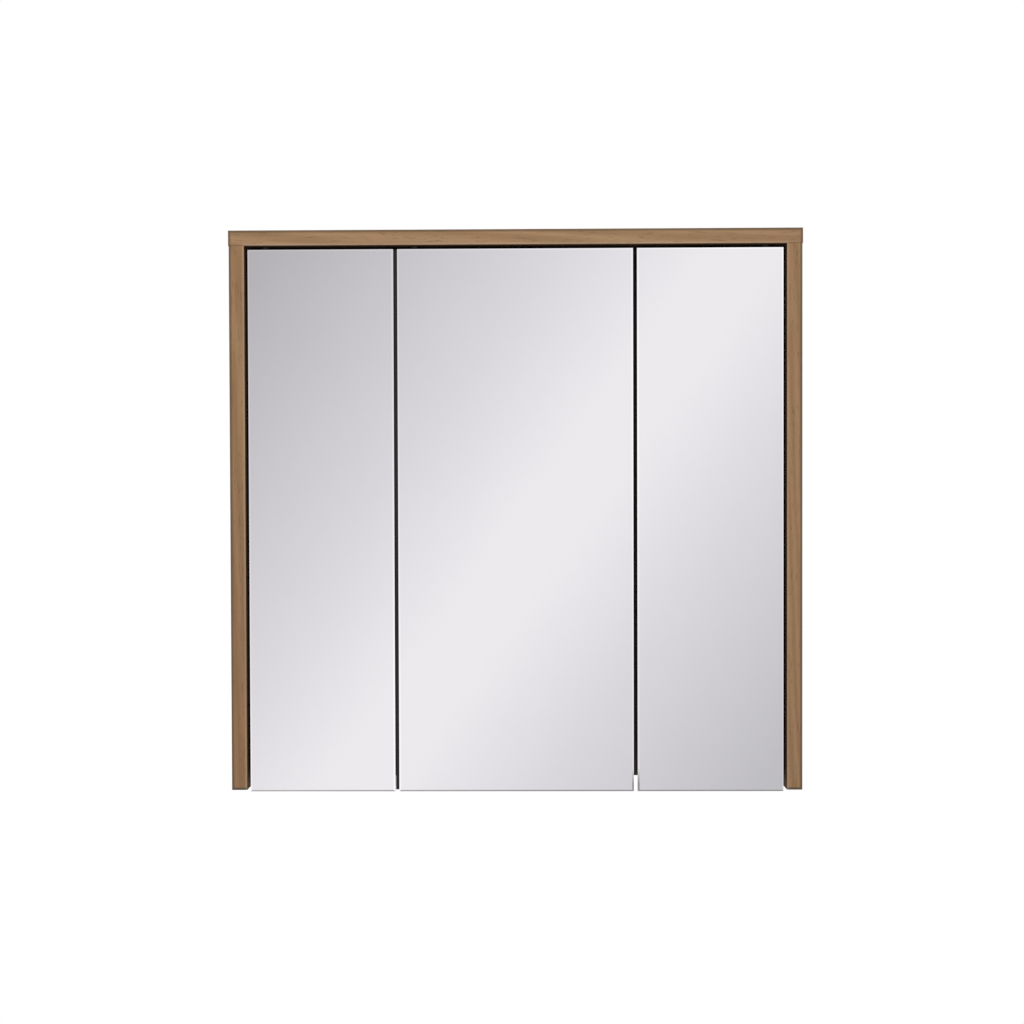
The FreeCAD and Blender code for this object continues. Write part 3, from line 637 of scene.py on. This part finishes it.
# Pale studio floor, far below the hung cabinet, that fades into the white round it. Lengths are in metres.
floor_drop = 1.2
floor_radius = 2.0
fade_start = 1.0
fade_end = 1.95
nap_mm = 8
floor_place = (0.0, (cad_box[0][1] + cad_box[1][1]) / 2, cad_box[0][2] - floor_drop)
bpy.ops.object.select_all(action="DESELECT")
bpy.ops.mesh.primitive_circle_add(vertices=96, radius=floor_radius, fill_type="NGON", location=floor_place)
floor = bpy.context.object
floor.name = "studio_floor"
floor_paint, tree, shader, place = start_material("Studio_floor_paint_rolled")
nap = add_node(tree, "ShaderNodeTexNoise", {
    "Vector": place.outputs["Object"], "Scale": per_metre(nap_mm), "Detail": 3.0})
colour = add_node(tree, "ShaderNodeMix", {
    0: nap.outputs["Fac"], 6: linear("#E6E6E6"), 7: linear("#ECECEC")}, data_type="RGBA")
reach = add_node(tree, "ShaderNodeVectorMath", {0: place.outputs["Object"]}, operation="LENGTH")
fade = add_node(tree, "ShaderNodeMapRange", {
    "Value": reach.outputs["Value"], "From Min": fade_start, "From Max": fade_end,
    "To Min": 1.0, "To Max": 0.0}, interpolation_type="SMOOTHSTEP")
tree.links.new(colour.outputs[2], shader.inputs["Base Color"])
tree.links.new(fade.outputs["Result"], shader.inputs["Alpha"])
shader.inputs["Roughness"].default_value = 0.8
floor.data.materials.append(floor_paint)

# Studio light: soft white all round, a little stronger from above. The mirrors face a slanted bright band
# with a white core and soft shoulders, a dim strip on each side of it and a softer band further out, and the
# camera sees plain white. Places across the band are slopes, sideways run against depth.
light_below = 0.52
light_above = 0.80
least_depth = 0.2
band_slant = math.radians(36)
band_reach = 1.5
band_middle = 0.028
band_core = 0.023
band_shoulder = 0.113
band_glow = (
    (-1.3, "#D2D0D4"),
    (-0.8, "#F2F0F4"),
    (-0.267, "#C2BFC3"),
    (band_middle - band_shoulder, "#EBE8ED"),
    (band_middle - band_core, "#FFFCFF"),
    (band_middle + band_core, "#FFFCFF"),
    (band_middle + band_shoulder, "#EBE8ED"),
    (0.277, "#CDCBCF"),
    (0.8, "#F2F0F4"),
    (1.3, "#D2D0D4"))
world = bpy.data.worlds.new("Soft_white_studio")
bpy.context.scene.world = world
world.use_nodes = True
tree = world.node_tree
tree.nodes.clear()
ray = add_node(tree, "ShaderNodeLightPath")
looking = add_node(tree, "ShaderNodeTexCoord")
way = add_node(tree, "ShaderNodeSeparateXYZ", {"Vector": looking.outputs["Generated"]})
depth = add_node(tree, "ShaderNodeMath", {0: way.outputs["Y"]}, operation="ABSOLUTE")
depth = add_node(tree, "ShaderNodeMath", {0: depth.outputs[0], 1: least_depth}, operation="MAXIMUM")
across = add_node(tree, "ShaderNodeMath", {0: way.outputs["X"], 1: depth.outputs[0]}, operation="DIVIDE")
upward = add_node(tree, "ShaderNodeMath", {0: way.outputs["Z"], 1: depth.outputs[0]}, operation="DIVIDE")
slope = add_node(tree, "ShaderNodeMath", {
    0: across.outputs[0], 1: math.cos(band_slant)}, operation="MULTIPLY")
slope = add_node(tree, "ShaderNodeMath", {
    0: upward.outputs[0], 1: -math.sin(band_slant), 2: slope.outputs[0]}, operation="MULTIPLY_ADD")
spread = add_node(tree, "ShaderNodeMapRange", {
    "Value": slope.outputs[0], "From Min": -band_reach, "From Max": band_reach})
band = add_node(tree, "ShaderNodeValToRGB", {"Fac": spread.outputs["Result"]}, ramp=[
    ((stop + band_reach) / (2 * band_reach), linear(glow)) for stop, glow in band_glow])
fall = add_node(tree, "ShaderNodeMapRange", {
    "Value": way.outputs["Z"], "From Min": -1.0, "From Max": 1.0,
    "To Min": light_below, "To Max": light_above})
even = add_node(tree, "ShaderNodeBackground", {
    "Color": linear("#FFFFFF"), "Strength": fall.outputs["Result"]})
seen = add_node(tree, "ShaderNodeBackground", {"Color": linear("#FFFFFF"), "Strength": 1.0})
mirrored = add_node(tree, "ShaderNodeBackground", {"Color": band.outputs["Color"], "Strength": 1.0})
lit = add_node(tree, "ShaderNodeMixShader", {
    0: ray.outputs["Is Glossy Ray"], 1: even.outputs[0], 2: mirrored.outputs[0]})
straight = add_node(tree, "ShaderNodeMath", {
    0: ray.outputs["Is Camera Ray"], 1: ray.outputs["Is Transmission Ray"]}, operation="MAXIMUM")
whole = add_node(tree, "ShaderNodeMixShader", {0: straight.outputs[0], 1: lit.outputs[0], 2: seen.outputs[0]})
add_node(tree, "ShaderNodeOutputWorld", {"Surface": whole.outputs[0]})

# A large soft lamp above and in front gives the frame a little shape
lamp_place = Vector((-0.1, -1.5, 1.3))
lamp_target = Vector((0.0, -0.15, -0.2))
lamp_data = bpy.data.lights.new("overhead_softbox", "AREA")
lamp_data.shape = "RECTANGLE"
lamp_data.size = 1.6
lamp_data.size_y = 1.0
lamp_data.energy = 20.0
lamp = bpy.data.objects.new("overhead_softbox", lamp_data)
bpy.context.scene.collection.objects.link(lamp)
lamp.location = lamp_place
lamp.rotation_euler = (lamp_target - lamp_place).to_track_quat("-Z", "Y").to_euler()
lamp.visible_glossy = False

# Camera where the photograph was taken from, nearly square to the doors: its place in metres, and how far in
# degrees it is turned to the left, tipped down and rolled
camera_place = (0.0124, -1.55, -0.213)
turned_left = 0.664
tipped_down = 0.909
rolled = -0.18
camera_data = bpy.data.cameras.new("front_camera")
camera_data.sensor_width = 36.0
camera_data.lens = 47.05
camera = bpy.data.objects.new("front_camera", camera_data)
bpy.context.scene.collection.objects.link(camera)
camera.location = camera_place
turn = Matrix.Rotation(math.radians(turned_left), 3, "Z")
tilt = Matrix.Rotation(math.radians(90 - tipped_down), 3, "X")
roll = Matrix.Rotation(math.radians(rolled), 3, "Z")
camera.rotation_euler = (turn @ tilt @ roll).to_euler()
bpy.context.scene.camera = camera
bpy.context.scene.view_settings.view_transform = "Standard"
